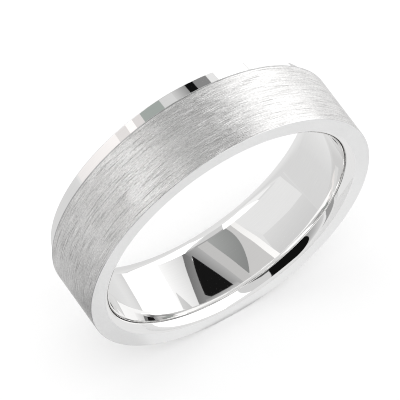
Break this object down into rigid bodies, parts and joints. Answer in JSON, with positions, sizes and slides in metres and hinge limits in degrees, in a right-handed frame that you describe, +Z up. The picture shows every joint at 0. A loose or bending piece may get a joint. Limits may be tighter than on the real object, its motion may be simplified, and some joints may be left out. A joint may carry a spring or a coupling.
{
  "type": "wedding band",
  "caption": "Flat comfort-fit wedding band: a wide brushed outer sleeve and a lower mirror-polished rim around a polished liner.",
  "frame": {"origin": "middle of the bore on the finger axis, halfway across the band's width, which is also the centre of the box", "axes": "+Y along the finger axis, from the satin side face towards the polished rim; +Z up with the band standing on its round outer face, as it is displayed"},
  "size_m": [0.0218, 0.006, 0.0218],
  "materials": {
    "mirror_white_gold": "mirror polished",
    "brushed_white_gold": "brushed round the band, with a satin side face"
  },
  "bodies": {
    "root": {"comfort_liner": "mirror_white_gold", "brushed_sleeve": "brushed_white_gold", "polished_rim": "mirror_white_gold"}
  },
  "joints": []
}
